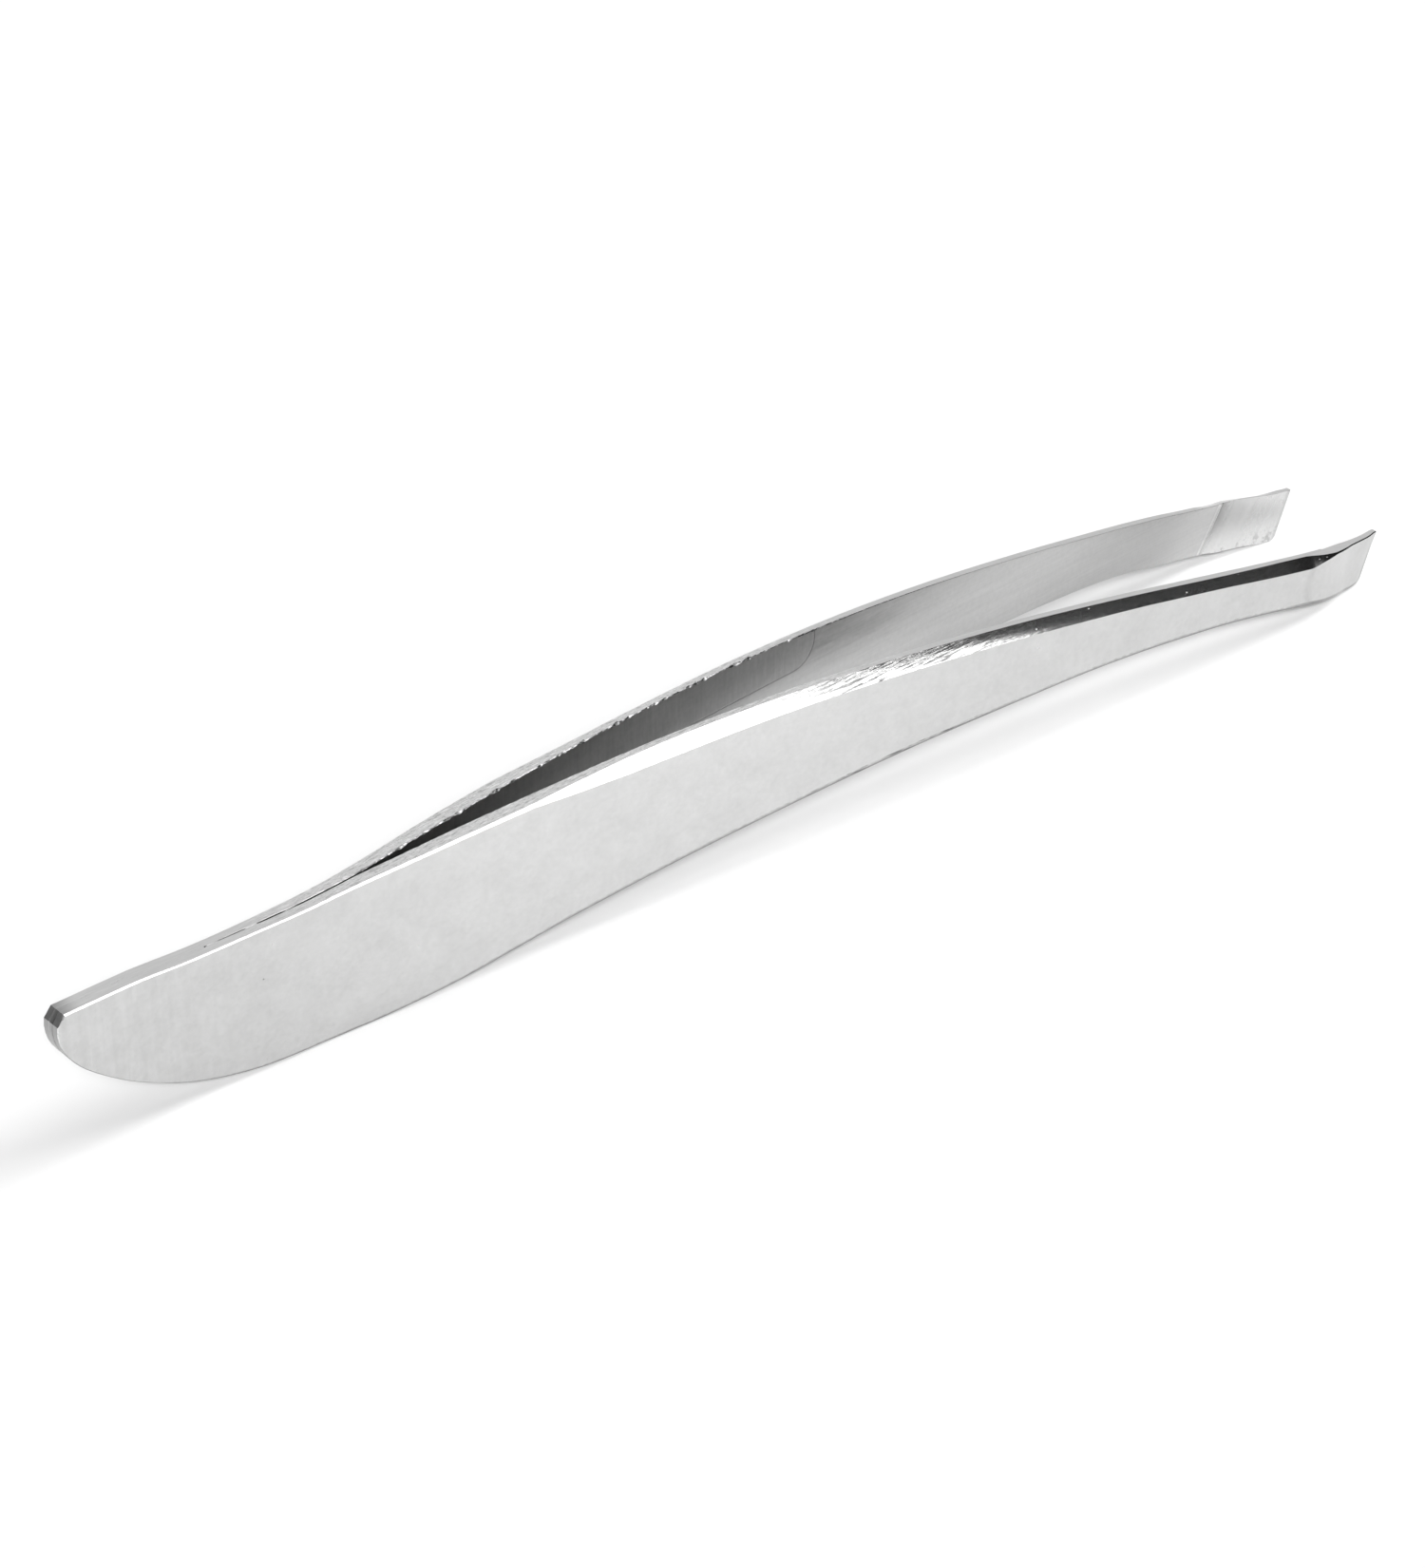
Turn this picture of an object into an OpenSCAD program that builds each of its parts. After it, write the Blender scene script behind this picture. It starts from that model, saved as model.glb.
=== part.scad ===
// Slant tweezers: two sprung steel arms welded back to back at the tail.
// The tweezers stand on their lower edges, with the tips at +X and the arms opening along Y.
// Origin: on the surface they stand on, at mid length, on the plane between the arms.

/* [Overall] */
// Length from the butt to the upper corner of the tips
length = 97; // [90:0.1:104]
// Greatest height of the arched upper edge above the surface
arch_height = 10.13; // [9.6:0.01:10.6]
// Half of the gap between the arms where it is widest, at rest
half_gap = 4.12; // [3.8:0.02:4.6]

/* [Strip] */
// Thickness of one arm where the two tails are ground flat and welded
tail_thickness = 0.65; // [0.55:0.01:0.75]
// Thickness of one arm along the blade
blade_thickness = 1.04; // [0.95:0.01:1.2]
// Bevel along the outer edges of the tail
tail_bevel = 0.2; // [0.1:0.01:0.25]
// Bevel along the outer edges of the blade
blade_bevel = 0.64; // [0.4:0.01:0.7]

/* [Weld] */
// Length of the welded seam from the butt
weld_length = 9.5; // [6:0.5:11]
// Width of the fused seam between the two tails
weld_width = 0.3; // [0.1:0.05:0.4]

/* [Tips] */
// Angle of the slanted end from the vertical
slant = 24; // [18:1:28]
// Angle of the ridge where the ground tip begins, from the vertical
ridge_slant = 31; // [24:1:34]
// Radius of the rounded lower corner
corner_r = 0.8; // [0.6:0.1:1.6]
// Half of the gap between the gripping edges, at rest
grip_gap = 3.45; // [3:0.01:3.5]
// Thickness of one arm at its gripping edge
grip_thickness = 0.38; // [0.3:0.01:0.55]
// Depth of the step where the ground tip begins
ridge_step = 0.07; // [0.02:0.01:0.1]
// Depth of the hollow that is ground into the tip
hollow = 0.03; // [0:0.01:0.12]
// Width of the flat land along the gripping edge
land = 0.4; // [0.2:0.1:0.6]

/* [Flexure] */
// Distance from the butt to the line about which an arm bends
flex_at = 22; // [20:0.5:26]

/* [Hidden] */

// The curves below are drawn at these design sizes and stretched to the ones asked for
design_length = 96.6;
design_arch = 10.13;
design_gap = 4.12;
// Where the ground tip begins on the upper edge, and where the sections start to lean towards it
ridge_at = 90.9;
lean_from = 74;
// Past the ridge the sections turn parallel to the slanted end over this length
easing = 2;
// The outer bevel narrows between these distances, to this share of its size at the tips
bevel_fades_from = 90.3;
bevel_fades_to = 94.2;
tip_bevel_share = 0.05;
// The lower edge falls at this angle where it meets the rounded corner
fall = 11;
// Spacing of the sections
tail_pitch = 1.5;
blade_pitch = 2;
tip_pitch = 0.6;
corner_steps = 8;
// Reach of the cutting shapes past the tail
reach = 20;
root2 = sqrt(2);
steel = [0.80, 0.80, 0.80];
weld_steel = [0.70, 0.70, 0.69];

// Upper edge from the butt to the tip: distance from the butt, height
upper = [
    [0.48, 9.14], [4.4, 9.15], [9, 8.92], [14.5, 8.87], [20, 9.14], [26, 9.57], [33, 9.94], [40, 10.13],
    [48, 9.98], [56, 9.45], [64, 8.59], [72, 7.42], [80, 6.05], [86, 4.98], [90.9, 4.17], [96.6, 3.24]
];
// Rounded butt, from its upper facet down to the belly
butt = [
    [0.04, 8.54], [0.01, 7.84], [0.32, 6.79], [1.38, 5.37], [3.38, 3.75], [5.4, 2.53], [8.4, 1.18],
    [12.4, 0.24], [17.4, 0]
];
// Rounded lower corner of the tip, and the slanted end that it runs into
lean = tan(slant);
corner_at = design_length - corner_r * cos(slant)
    - lean * (upper[len(upper) - 1][1] - corner_r * (1 - sin(slant)));
function corner(angle) = [corner_at + corner_r * sin(angle), corner_r * (1 - cos(angle))];
// Lower edge from the belly to the rounded corner
lower = [
    [17.4, 0], [20.5, 0.03], [24.4, 0.31], [28.4, 0.86], [32.4, 1.43], [40.4, 2.23], [48.4, 2.85],
    [56.4, 3.26], [64.4, 3.35], [72.4, 3.22], [80.4, 2.6], [84.4, 2.06], [88.4, 1.34], [91.4, 0.64],
    corner(-fall)
];
// Half gap between the inner faces, from where they part to the ridge of the tip
gap = [
    [0, 0], [17, 0], [20, 0.1], [24.4, 0.4], [32.4, 0.94], [40.4, 1.46], [48.4, 2.01], [56.4, 2.53],
    [64.4, 2.98], [72.4, 3.38], [80.4, 3.75], [86.4, 3.98], [90.9, 4.12]
];
// Share of the change from tail to blade, for the thickness and for the bevel
thickening = [[0, 0], [10, 0], [16.4, 0.34], [24.4, 0.88], [34, 1], [90.9, 1]];
bevelling = [[0, 0], [27, 0], [31, 0.4], [36, 0.85], [42, 1], [62, 1], [90.9, 0.95]];
// Outer face of the ground tip: share of the way from the ridge to the gripping edge
tip_outer = [[0, 0], [0.16, 0.16], [0.33, 0.38], [0.5, 0.6], [0.66, 0.76], [1, 1]];

// Smooth curve through a list of points, read at one distance: each cubic piece takes
// its slope at a point from the two neighbours of that point, and is level at a crest
function slope(c, i) =
    let (a = c[max(i - 1, 0)], b = c[min(i + 1, len(c) - 1)])
    (c[i][1] - a[1]) * (b[1] - c[i][1]) <= 0 ? 0 : (b[1] - a[1]) / (b[0] - a[0]);
function piece(c, s, i = 0) = (i >= len(c) - 2 || s < c[i + 1][0]) ? i : piece(c, s, i + 1);
function at(c, s) =
    let (i = piece(c, s), a = c[i], b = c[i + 1], w = b[0] - a[0])
    let (t = min(max((s - a[0]) / w, 0), 1), u = 1 - t)
    a[1] * u * u * (1 + 2 * t) + b[1] * t * t * (3 - 2 * t)
    + w * t * u * (slope(c, i) * u - slope(c, i + 1) * t);
// Smooth path through points in the plane, n steps to each piece
function bend(a, b, c, d, t) =
    0.5 * (2 * b + (c - a) * t + (2 * a - 5 * b + 4 * c - d) * t * t
    + (3 * b - a - 3 * c + d) * t * t * t);
function path(p, n) = [
    for (i = [0 : len(p) - 2], k = [0 : n - 1])
        bend(p[max(i - 1, 0)], p[i], p[i + 1], p[min(i + 2, len(p) - 1)], k / n)
];
function smooth(t) = let (u = min(max(t, 0), 1)) u * u * (3 - 2 * u);
function last(list) = list[len(list) - 1];

// Place along X of a distance from the butt
function along(s) = s * length / design_length - length / 2;

// Edges and faces of one arm: y is measured outwards from the plane between the arms
function top_z(s) = at(upper, s) * arch_height / design_arch;
function floor_z(s) = at(lower, s);
function tip_share(s) = (s - ridge_at) / (design_length - ridge_at);
function ground_share(s) = min(tip_share(s) / (1 - land / (design_length - ridge_at)), 1);
function ground_inner_y(g) =
    half_gap + (grip_gap - half_gap) * g + ridge_step * (1 - g) + 4 * hollow * g * (1 - g);
function inner_y(s) =
    s <= ridge_at ? at(gap, s) * half_gap / design_gap : ground_inner_y(ground_share(s));
function thickness(s) = tail_thickness + (blade_thickness - tail_thickness) * at(thickening, s);
function outer_y(s) =
    let (ridge_y = half_gap + blade_thickness, grip_y = grip_gap + grip_thickness)
    s <= ridge_at
        ? inner_y(s) + thickness(s)
        : ridge_y + (grip_y - ridge_y) * at(tip_outer, tip_share(s));
function bevel_fade(s) =
    min(max((s - bevel_fades_from) / (bevel_fades_to - bevel_fades_from), 0), 1);
function bevel(s) =
    (tail_bevel + (blade_bevel - tail_bevel) * at(bevelling, min(s, ridge_at)))
    * (1 - (1 - tip_bevel_share) * bevel_fade(s));

// Side outline of the tails
tail_stations = [
    for (s = [upper[0][0] : tail_pitch : flex_at - tail_pitch / 2]) s,
    flex_at
];
tail_top = [for (s = tail_stations) [s, top_z(s)]];
tail_bottom = [
    each path(butt, 4),
    for (s = [last(butt)[0] : tail_pitch : flex_at - tail_pitch / 2]) [s, floor_z(s)],
    [flex_at, floor_z(flex_at)]
];
tail_outline = [
    each tail_top,
    for (i = [len(tail_bottom) - 1 : -1 : 0]) tail_bottom[i]
];

// Everything on one side of a line drawn over the length of the tail. The line is drawn
// across the view that is turned about X, and it carries straight through in that view.
module one_side(turn, line, side) {
    first = line[0];
    end = last(line);
    closing = [[along(end[0]) + reach, side * reach], [along(first[0]) - reach, side * reach]];
    rotate([turn, 0, 0]) translate([0, 0, -reach]) linear_extrude(2 * reach)
        polygon([
            [along(first[0]) - reach, first[1]],
            for (p = line) [along(p[0]), p[1]],
            [along(end[0]) + reach, end[1]],
            each closing
        ]);
}

// The near arm lies at -Y, so its outward direction is -Y
module near_tail_shape() {
    intersection() {
        rotate([90, 0, 0]) linear_extrude(reach) polygon([for (p = tail_outline) [along(p[0]), p[1]]]);
        one_side(180, [for (s = tail_stations) [s, outer_y(s)]], -1);
        one_side(180, [for (s = tail_stations) [s, inner_y(s)]], 1);
        one_side(135, [for (p = tail_top) [p[0], (p[1] + outer_y(p[0]) - bevel(p[0])) / root2]], -1);
        one_side(225, [for (p = tail_bottom) [p[0], (outer_y(p[0]) - bevel(p[0]) - p[1]) / root2]], -1);
    }
}
module weld_shape() {
    intersection() {
        rotate([90, 0, 0]) linear_extrude(weld_width, center = true)
            polygon([for (p = tail_outline) [along(p[0]), p[1]]]);
        translate([along(0) - 1, -1, -1]) cube([along(weld_length) - along(0) + 1, 2, 12]);
    }
}
module tail_shape() {
    difference() {
        near_tail_shape();
        weld_shape();
    }
}

// Sections of the blade: each leans over a little further as far as the ridge
ridge_lean = tan(ridge_slant);
function lean_at(s) =
    ridge_lean * smooth((s - lean_from) / (ridge_at - lean_from))
    - (ridge_lean - lean) * smooth((s - ridge_at) / easing);
function foot(s, b, n) = n == 0 ? b : foot(s, s - lean_at(s) * (top_z(s) - floor_z(b)), n - 1);
function head(b, s, n) = n == 0 ? s : head(b, b[0] + lean * (top_z(s) - b[1]), n - 1);
blade_tops = [
    for (s = [flex_at : blade_pitch : ridge_at - blade_pitch / 2]) s,
    ridge_at,
    for (s = [ridge_at + 0.05 : tip_pitch : head(corner(-fall), corner_at, 6) - tip_pitch / 2]) s
];
blade_edges = [
    for (s = blade_tops) let (b = foot(s, s, 6)) [[s, top_z(s)], [b, floor_z(b)]],
    for (i = [0 : corner_steps])
        let (b = corner(-fall + (90 - slant + fall) * i / corner_steps), s = head(b, b[0], 8))
        [[s, top_z(s)], b]
];
function section(e) =
    let (t = e[0], b = e[1], s = min(t[0], design_length), c = bevel(s), z = t[1] - b[1])
    let (run = (t[0] - b[0]) / z, inner = inner_y(s), outer = outer_y(s))
    let (cut = min(c, z / 3))
    [
        [t[0], inner, t[1]], [t[0], outer - c, t[1]], [t[0] - run * cut, outer, t[1] - cut],
        [b[0] + run * cut, outer, b[1] + cut], [b[0], outer - c, b[1]], [b[0], inner, b[1]]
    ];
module near_blade_shape() {
    rings = [for (e = blade_edges) section(e)];
    n = len(rings[0]);
    m = len(rings);
    polyhedron(
        points = [for (r = rings, p = r) [along(p[0]), -p[1], p[2]]],
        faces = [
            [for (k = [0 : n - 1]) k],
            for (j = [0 : m - 2], k = [0 : n - 1])
                let (a = j * n + k, b = j * n + (k + 1) % n) [a, a + n, b + n, b],
            [for (k = [n - 1 : -1 : 0]) (m - 1) * n + k]
        ]
    );
}

module near_arm_tail() { color(steel) tail_shape(); }
module far_arm_tail() { color(steel) mirror([0, 1, 0]) tail_shape(); }
module butt_weld() { color(weld_steel) weld_shape(); }
module near_arm_blade() { color(steel) near_blade_shape(); }
module far_arm_blade() { color(steel) mirror([0, 1, 0]) near_blade_shape(); }

near_arm_tail();
far_arm_tail();
butt_weld();
near_arm_blade();
far_arm_blade();
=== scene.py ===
"""Slant tweezers: two polished steel arms, welded back to back at the tail.

Lengths are millimetres until a mesh is made. A point of an arm is (s, z, y): s is the distance
from the butt, z the height, and y the distance from the plane between the arms.
"""
import math

import bpy
import numpy as np
from mathutils import Matrix, Vector


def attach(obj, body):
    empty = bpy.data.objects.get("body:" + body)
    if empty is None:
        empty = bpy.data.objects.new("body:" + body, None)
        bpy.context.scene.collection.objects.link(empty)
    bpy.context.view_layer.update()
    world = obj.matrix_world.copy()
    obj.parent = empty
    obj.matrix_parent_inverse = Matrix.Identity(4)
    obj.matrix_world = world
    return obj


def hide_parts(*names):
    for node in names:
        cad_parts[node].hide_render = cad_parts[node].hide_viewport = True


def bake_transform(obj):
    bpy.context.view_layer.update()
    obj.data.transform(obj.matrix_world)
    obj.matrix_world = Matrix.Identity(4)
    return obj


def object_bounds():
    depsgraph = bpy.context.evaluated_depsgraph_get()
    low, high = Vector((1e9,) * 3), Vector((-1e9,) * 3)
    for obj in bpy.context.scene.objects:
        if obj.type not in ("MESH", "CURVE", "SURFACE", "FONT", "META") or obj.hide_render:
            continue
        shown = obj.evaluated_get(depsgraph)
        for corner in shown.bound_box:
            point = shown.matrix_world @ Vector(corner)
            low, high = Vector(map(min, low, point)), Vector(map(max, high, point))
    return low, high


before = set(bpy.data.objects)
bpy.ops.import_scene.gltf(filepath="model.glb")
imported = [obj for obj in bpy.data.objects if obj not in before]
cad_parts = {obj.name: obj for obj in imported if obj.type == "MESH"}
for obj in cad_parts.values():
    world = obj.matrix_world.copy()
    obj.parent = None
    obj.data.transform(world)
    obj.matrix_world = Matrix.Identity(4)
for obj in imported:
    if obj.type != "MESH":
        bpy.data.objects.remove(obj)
cad_low, cad_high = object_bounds()

# ---------------------------------------------------------------- sizes of one arm
MM = 0.001
# The outline is drawn at this length and stretched to that of the CAD model
LENGTH = 96.6
STRETCH = 2 * cad_high.x / MM / LENGTH
BUTT_X = -cad_high.x / MM

TAIL_THICKNESS = 0.65
BLADE_THICKNESS = 1.04
HALF_GAP = 4.12
# The inner face of the tip: a ridge with a raised lip, then a hollow-ground face and a flat land
RIDGE_AT = 90.9
RIDGE_LEAN = math.radians(31)
RIDGE_STEP = 0.09
RIDGE_LIP = 0.035
RIDGE_EASING = 2.0
LEAN_FROM = 74.0
HOLLOW = 0.03
LAND = 0.32
GRIP_GAP = 3.45
GRIP_THICKNESS = 0.38
# The outer face of the tip begins at a curved crease
CREASE_AT, CREASE_Z, CREASE_BOW = 88.8, 2.4, 0.25
SLANT = math.radians(21)
CORNER_R = 0.6
CORNER_FALL = math.radians(11)
# The weld, and the place where the arms part
WELD_LENGTH = 9.5
WELD_OVERLAP = 0.06
WELD_HALF_WIDTH = 0.15
WELD_CROWN = 0.004
WELD_RIPPLE = 0.001
WELD_DEPTH = 0.3
PART_AT = 17.0
SLIT_HALF_WIDTH = 0.06
LOW_CHAMFER = 0.03

# Curves along the arm: distance from the butt, value
UPPER = [
    (0.48, 9.14), (4.4, 9.15), (9, 8.92), (14.5, 8.87), (20, 9.14), (26, 9.57), (33, 9.94), (40, 10.13),
    (48, 9.98), (56, 9.45), (64, 8.59), (72, 7.42), (80, 6.05), (86, 4.98), (90.9, 4.17), (96.6, 3.24),
]
BUTT = [
    (0.04, 8.54), (0.01, 7.84), (0.32, 6.79), (1.38, 5.37), (3.38, 3.75), (5.4, 2.53), (8.4, 1.18),
    (12.4, 0.24), (17.4, 0),
]
LOWER = [
    (17.4, 0), (20.5, 0.03), (24.4, 0.31), (28.4, 0.86), (32.4, 1.43), (40.4, 2.23), (48.4, 2.85),
    (56.4, 3.26), (64.4, 3.35), (72.4, 3.22), (80.4, 2.6), (84.4, 2.06), (88.4, 1.34), (91.4, 0.64),
]
GAP = [
    (0, 0), (PART_AT, 0), (20, 0.1), (24.4, 0.4), (32.4, 0.94), (40.4, 1.46), (48.4, 2.01),
    (56.4, 2.53), (64.4, 2.98), (72.4, 3.38), (80.4, 3.75), (86.4, 3.98), (RIDGE_AT, HALF_GAP),
]
THICKENING = [(0, 0), (10, 0), (16.4, 0.34), (24.4, 0.88), (34, 1), (RIDGE_AT, 1)]
# Outer face of the ground tip: share of the way along it, share of the way in to the gripping edge
TIP_OUTER = [
    (0, 0), (0.2, 0.045), (0.34, 0.175), (0.476, 0.36), (0.614, 0.586), (0.752, 0.742), (0.89, 0.87), (1, 1),
]
# Bevels along the upper and lower edge: distance from the butt, size
TOP_BEVEL_Y = [
    (0, 0.09), (14, 0.08), (20, 0.11), (27, 0.14), (30, 0.17), (32.6, 0.35), (36.3, 0.52), (40, 0.57),
    (66, 0.57), (75, 0.55), (82, 0.53), (87, 0.62), (89.3, 0.62), (90.5, 0.3), (91.6, 0.1), (94, 0.06),
    (97, 0.05),
]
TOP_BEVEL_Z = [
    (0, 0.1), (14, 0.08), (20, 0.11), (27, 0.14), (30, 0.18), (32.6, 0.44), (36.3, 0.71), (40, 0.8),
    (60, 0.78), (66, 0.7), (75, 0.56), (82, 0.54), (87, 0.6), (89.3, 0.6), (90.5, 0.29), (91.6, 0.1),
    (94, 0.06), (97, 0.05),
]
LOW_BEVEL_Y = [
    (0, 0.05), (6, 0.05), (12, 0.13), (26, 0.17), (40, 0.22), (80, 0.2), (88, 0.17), (93, 0.16),
    (97, 0.1),
]
LOW_BEVEL_Z = [
    (0, 0.05), (6, 0.06), (12, 0.2), (26, 0.3), (40, 0.42), (80, 0.36), (88, 0.32), (93, 0.34),
    (97, 0.16),
]
TOP_CROWN = 0.018
LOW_CROWN = 0.13

# Stretches of the arm: where a feature begins, over what length it grows, where it starts to end,
# and over what length it fades
TORN_STRETCH = (17, 5, 50, 9)
FLAKED_STRETCH = (20, 5, 44, 8)
DEEP_STRETCH = (78, 9, 90, 3.5)
DIPPED_STRETCH = (84, 6, 90.4, 3.2)
ROLLED_STRETCH = (88.5, 2.4, 92.5, 4)

# The arms were finished by hand, so they differ. side: -1 is the -Y side. torn: how rough the inner
# upper edge is. deep: how much deeper the blade is before the ridge. dipped: how much lower its
# upper edge is there. rolled: how far the upper edge of the tip is rolled outwards and down.
ARMS = {
    "near_arm": {"side": -1, "seed": 11, "torn": 0.35, "deep": 0.0, "dipped": 0.0, "rolled": 0.02},
    "far_arm": {"side": 1, "seed": 23, "torn": 1.5, "deep": 0.3, "dipped": 0.2, "rolled": 0.28},
}

# ---------------------------------------------------------------- fineness of the meshes
FINE_FROM, FINE_TO = 12.0, 60.0
FINE_STEP, COARSE_STEP, TIP_STEP = 0.15, 0.4, 0.14
EDGE_STEP = 0.1
# Closer rungs beside the ridge, and the free lengths before and past them
RIDGE_STATIONS = np.array([-0.9, -0.5, -0.25, -0.1, -0.04, 0, 0.05, 0.1, 0.2])
BEFORE_RIDGE, PAST_RIDGE = 1.2, 0.34
CORNER_CLEARANCE = 0.05
# Up to here the rungs fan out from the upper edge round the butt
FAN_END = 24.0
ROWS = 16
STRIP_RINGS = 5
BEVEL_RINGS = 5
CORNER_RUNGS = 12
WELD_STEP = 0.2
WELD_ROWS = 9
SHARP_ANGLE = math.radians(28)
SETTLING_STEPS = 20

# ---------------------------------------------------------------- studio
# What the steel mirrors. Azimuth is counted from +X towards +Y and height from the horizon, in degrees.
WORLD_LOW, WORLD_HIGH = 0.72, 0.85
SOFTBOX_LEVEL = 2.2
FLAG_LEVEL = 0.046
SIDE_FLAG_LEVEL = 0.12
BACKDROP_LEVEL = 1.0
FILL_LEVEL = 0.08
SOFTBOX_FROM = -82.0
LOWER_BOX_HEIGHTS = (10.0, 36.0)
UPPER_BOX_TO = -44.0
UPPER_BOX_HEIGHTS = (31.0, 60.0)
FLAG_TO = 6.0
FLAG_HEIGHTS = (4.0, 46.0)
SIDE_FLAG_HEIGHTS = (2.0, 40.0)
# The softbox and the flag beside it meet along a line that leans as it rises
BORDER_AT, BORDER_LEAN, BORDER_TOP = -17.0, -1.2, 36.0
# Lights on the table: name, azimuth, height, spread, strength
LIGHTS = (
    ("front_key_left", 225.0, 35.0, 10.0, 1.8),
    ("front_key_right", 240.0, 35.0, 10.0, 1.28),
    ("side", 345.0, 42.0, 30.0, 1.62),
    ("overhead", 315.0, 80.0, 60.0, 0.63),
)
FLOOR_HALF = 3.0
CAMERA_PLACE = Vector((-0.139712, -0.153463, 0.134395))
CAMERA_RIGHT = Vector((0.75103, -0.66026, 0.00463))
CAMERA_UP = Vector((0.351, 0.40517, 0.84418))
LENS, SENSOR_WIDTH = 98.19, 36.0


def curve(points, s):
    """Smooth curve through points, level at every crest, read at the distances s."""
    p = np.array(points, float)
    rise, run = np.diff(p[:, 1]), np.diff(p[:, 0])
    slope = np.zeros(len(p))
    slope[1:-1] = np.where(rise[:-1] * rise[1:] > 0, (p[2:, 1] - p[:-2, 1]) / (p[2:, 0] - p[:-2, 0]), 0)
    s = np.asarray(s, float)
    i = np.clip(np.searchsorted(p[:, 0], s, side="right") - 1, 0, len(p) - 2)
    w = run[i]
    t = np.clip((s - p[i, 0]) / w, 0, 1)
    u = 1 - t
    ends = p[i, 1] * u * u * (1 + 2 * t) + p[i + 1, 1] * t * t * (3 - 2 * t)
    return ends + w * t * u * (slope[i] * u - slope[i + 1] * t)


def straight(points, s):
    """Straight lines through points, read at the distances s."""
    p = np.array(points, float)
    return np.interp(s, p[:, 0], p[:, 1])


def smooth(t):
    """An even rise from 0 at 0 to 1 at 1."""
    t = np.clip(t, 0, 1)
    return t * t * (3 - 2 * t)


def along(stretch, s):
    """1 along a stretch of the arm and 0 outside it."""
    begin, growth, finish, fading = stretch
    return smooth((s - begin) / growth) * (1 - smooth((s - finish) / fading))


def settled(value, update):
    """The value that an update no longer changes."""
    for _ in range(SETTLING_STEPS):
        value = update(value)
    return value


# ---------------------------------------------------------------- side outline and its rungs
CORNER_AT = LENGTH - CORNER_R * math.cos(SLANT) - math.tan(SLANT) * (
    UPPER[-1][1] - CORNER_R * (1 - math.sin(SLANT))
)


def corner(angle):
    """Point on the rounded lower corner of the tip, angle 0 at its lowest point."""
    return np.array([CORNER_AT + CORNER_R * math.sin(angle), CORNER_R * (1 - math.cos(angle))])


def butt_path(steps=12):
    """Rounded butt as a smooth path through its points."""
    p = np.array(BUTT, float)
    out = []
    for i in range(len(p) - 1):
        a, b, c, d = p[max(i - 1, 0)], p[i], p[i + 1], p[min(i + 2, len(p) - 1)]
        for k in range(steps):
            t = k / steps
            out.append(0.5 * (2 * b + (c - a) * t + (2 * a - 5 * b + 4 * c - d) * t**2
                              + (3 * b - a - 3 * c + d) * t**3))
    return np.array(out)


def low_edge():
    """The lower edge from the butt's facet to the rounded corner, as a fine polyline."""
    lower = LOWER + [tuple(corner(-CORNER_FALL))]
    s = np.arange(LOWER[0][0], lower[-1][0], EDGE_STEP)
    return np.vstack([butt_path(), np.column_stack([s, np.maximum(curve(lower, s), 0)]), lower[-1]])


LOW_EDGE = low_edge()
LOW_RUN = np.concatenate([[0], np.cumsum(np.hypot(*np.diff(LOW_EDGE, axis=0).T))])


def low_point(run):
    """Point on the lower edge at a distance measured along it from the facet."""
    s = np.interp(run, LOW_RUN, LOW_EDGE[:, 0])
    return np.column_stack([s, np.interp(run, LOW_RUN, LOW_EDGE[:, 1])])


def low_z(s):
    """Height of the lower edge forward of the butt."""
    belly = LOW_EDGE[LOW_EDGE[:, 0] >= LOWER[0][0] - 1e-9]
    return np.interp(s, belly[:, 0], belly[:, 1])


def top_z(s):
    """Height of the upper edge."""
    return curve(UPPER, s)


def lean_at(s):
    """Slope of a rung from the vertical: none along the arm, most at the ridge, the slant at the end."""
    rising = math.tan(RIDGE_LEAN) * smooth((s - LEAN_FROM) / (RIDGE_AT - LEAN_FROM))
    easing = (math.tan(RIDGE_LEAN) - math.tan(SLANT)) * smooth((s - RIDGE_AT) / RIDGE_EASING)
    return rising - easing


def fan_rungs(s):
    """Rungs of the tail: their lower ends run round the butt."""
    start = UPPER[0][0]
    belly = LOW_EDGE[:, 0] > PART_AT
    fan_run = np.interp(FAN_END, LOW_EDGE[:, 0][belly], LOW_RUN[belly])
    share = (s - start) / (FAN_END - start)
    return np.column_stack([s, top_z(s)]), low_point(share * fan_run)


def blade_rungs(s):
    """Rungs of the blade and most of the tip: they lean as the ridge and the slant do."""
    foot = settled(s.copy(), lambda at: s - lean_at(s) * (top_z(s) - low_z(at)))
    return np.column_stack([s, top_z(s)]), np.column_stack([foot, low_z(foot)])


def corner_rungs():
    """Rungs that end on the rounded lower corner."""
    turn = np.array([corner(a) for a in np.linspace(-CORNER_FALL, math.pi / 2 - SLANT, CORNER_RUNGS)])

    def rise(head):
        return np.minimum(turn[:, 0] + math.tan(SLANT) * (top_z(head) - turn[:, 1]), LENGTH)

    head = settled(turn[:, 0].copy(), rise)
    return np.column_stack([head, top_z(head)]), turn


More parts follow.
